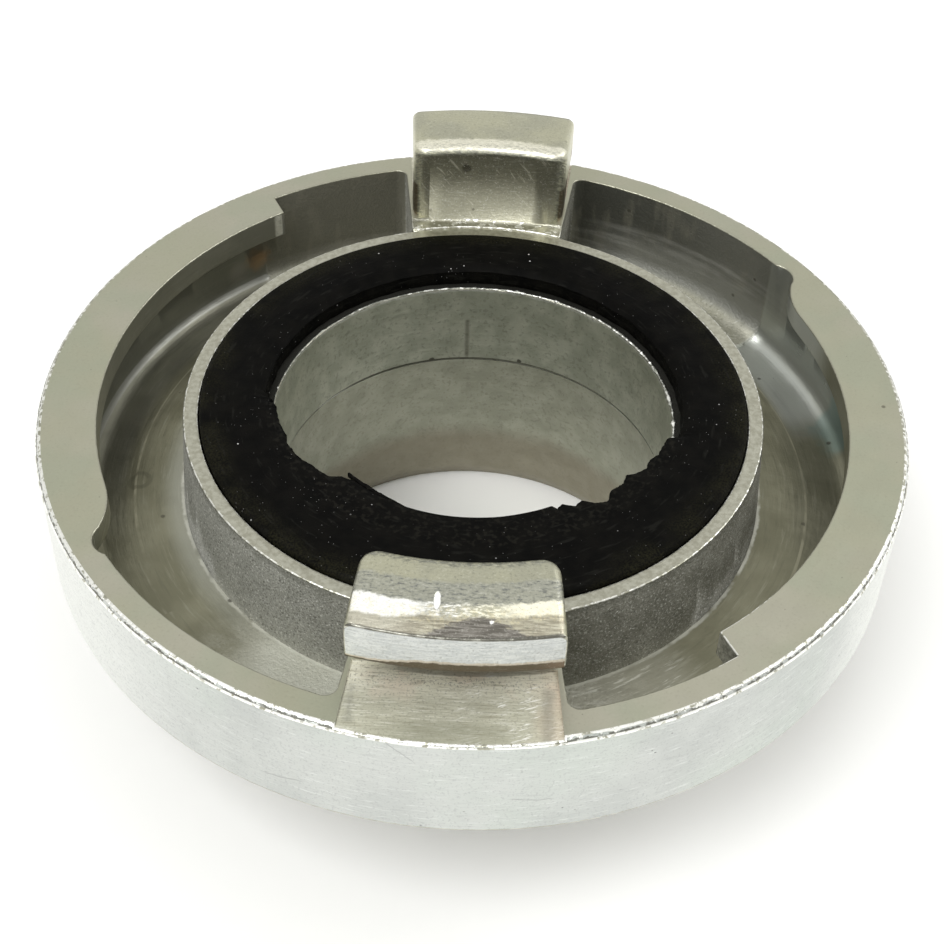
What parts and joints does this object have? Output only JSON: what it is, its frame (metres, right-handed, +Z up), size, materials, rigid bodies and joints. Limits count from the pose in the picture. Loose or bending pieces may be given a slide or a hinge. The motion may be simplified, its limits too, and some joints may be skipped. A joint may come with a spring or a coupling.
{
  "type": "fire hose reducer",
  "caption": "Fire hose reducer: a round coupling half with two hooked lugs, ramped flanges and a rubber lip seal, stepping down to an externally threaded pipe spigot.",
  "frame": {"origin": "centre of the threaded end's face, where the part stands on a table", "axes": "+Z up along the waterway towards the lugs, +Y and -Y through the two lugs, +X to the right"},
  "size_m": [0.126, 0.126, 0.061],
  "materials": {
    "body_metal": "cast, with turned and milled faces, worn",
    "seal_rubber": "moulded, dusty, lip torn"
  },
  "bodies": {
    "root": {"coupling_body": "body_metal", "seal_ring": "seal_rubber"}
  },
  "joints": []
}
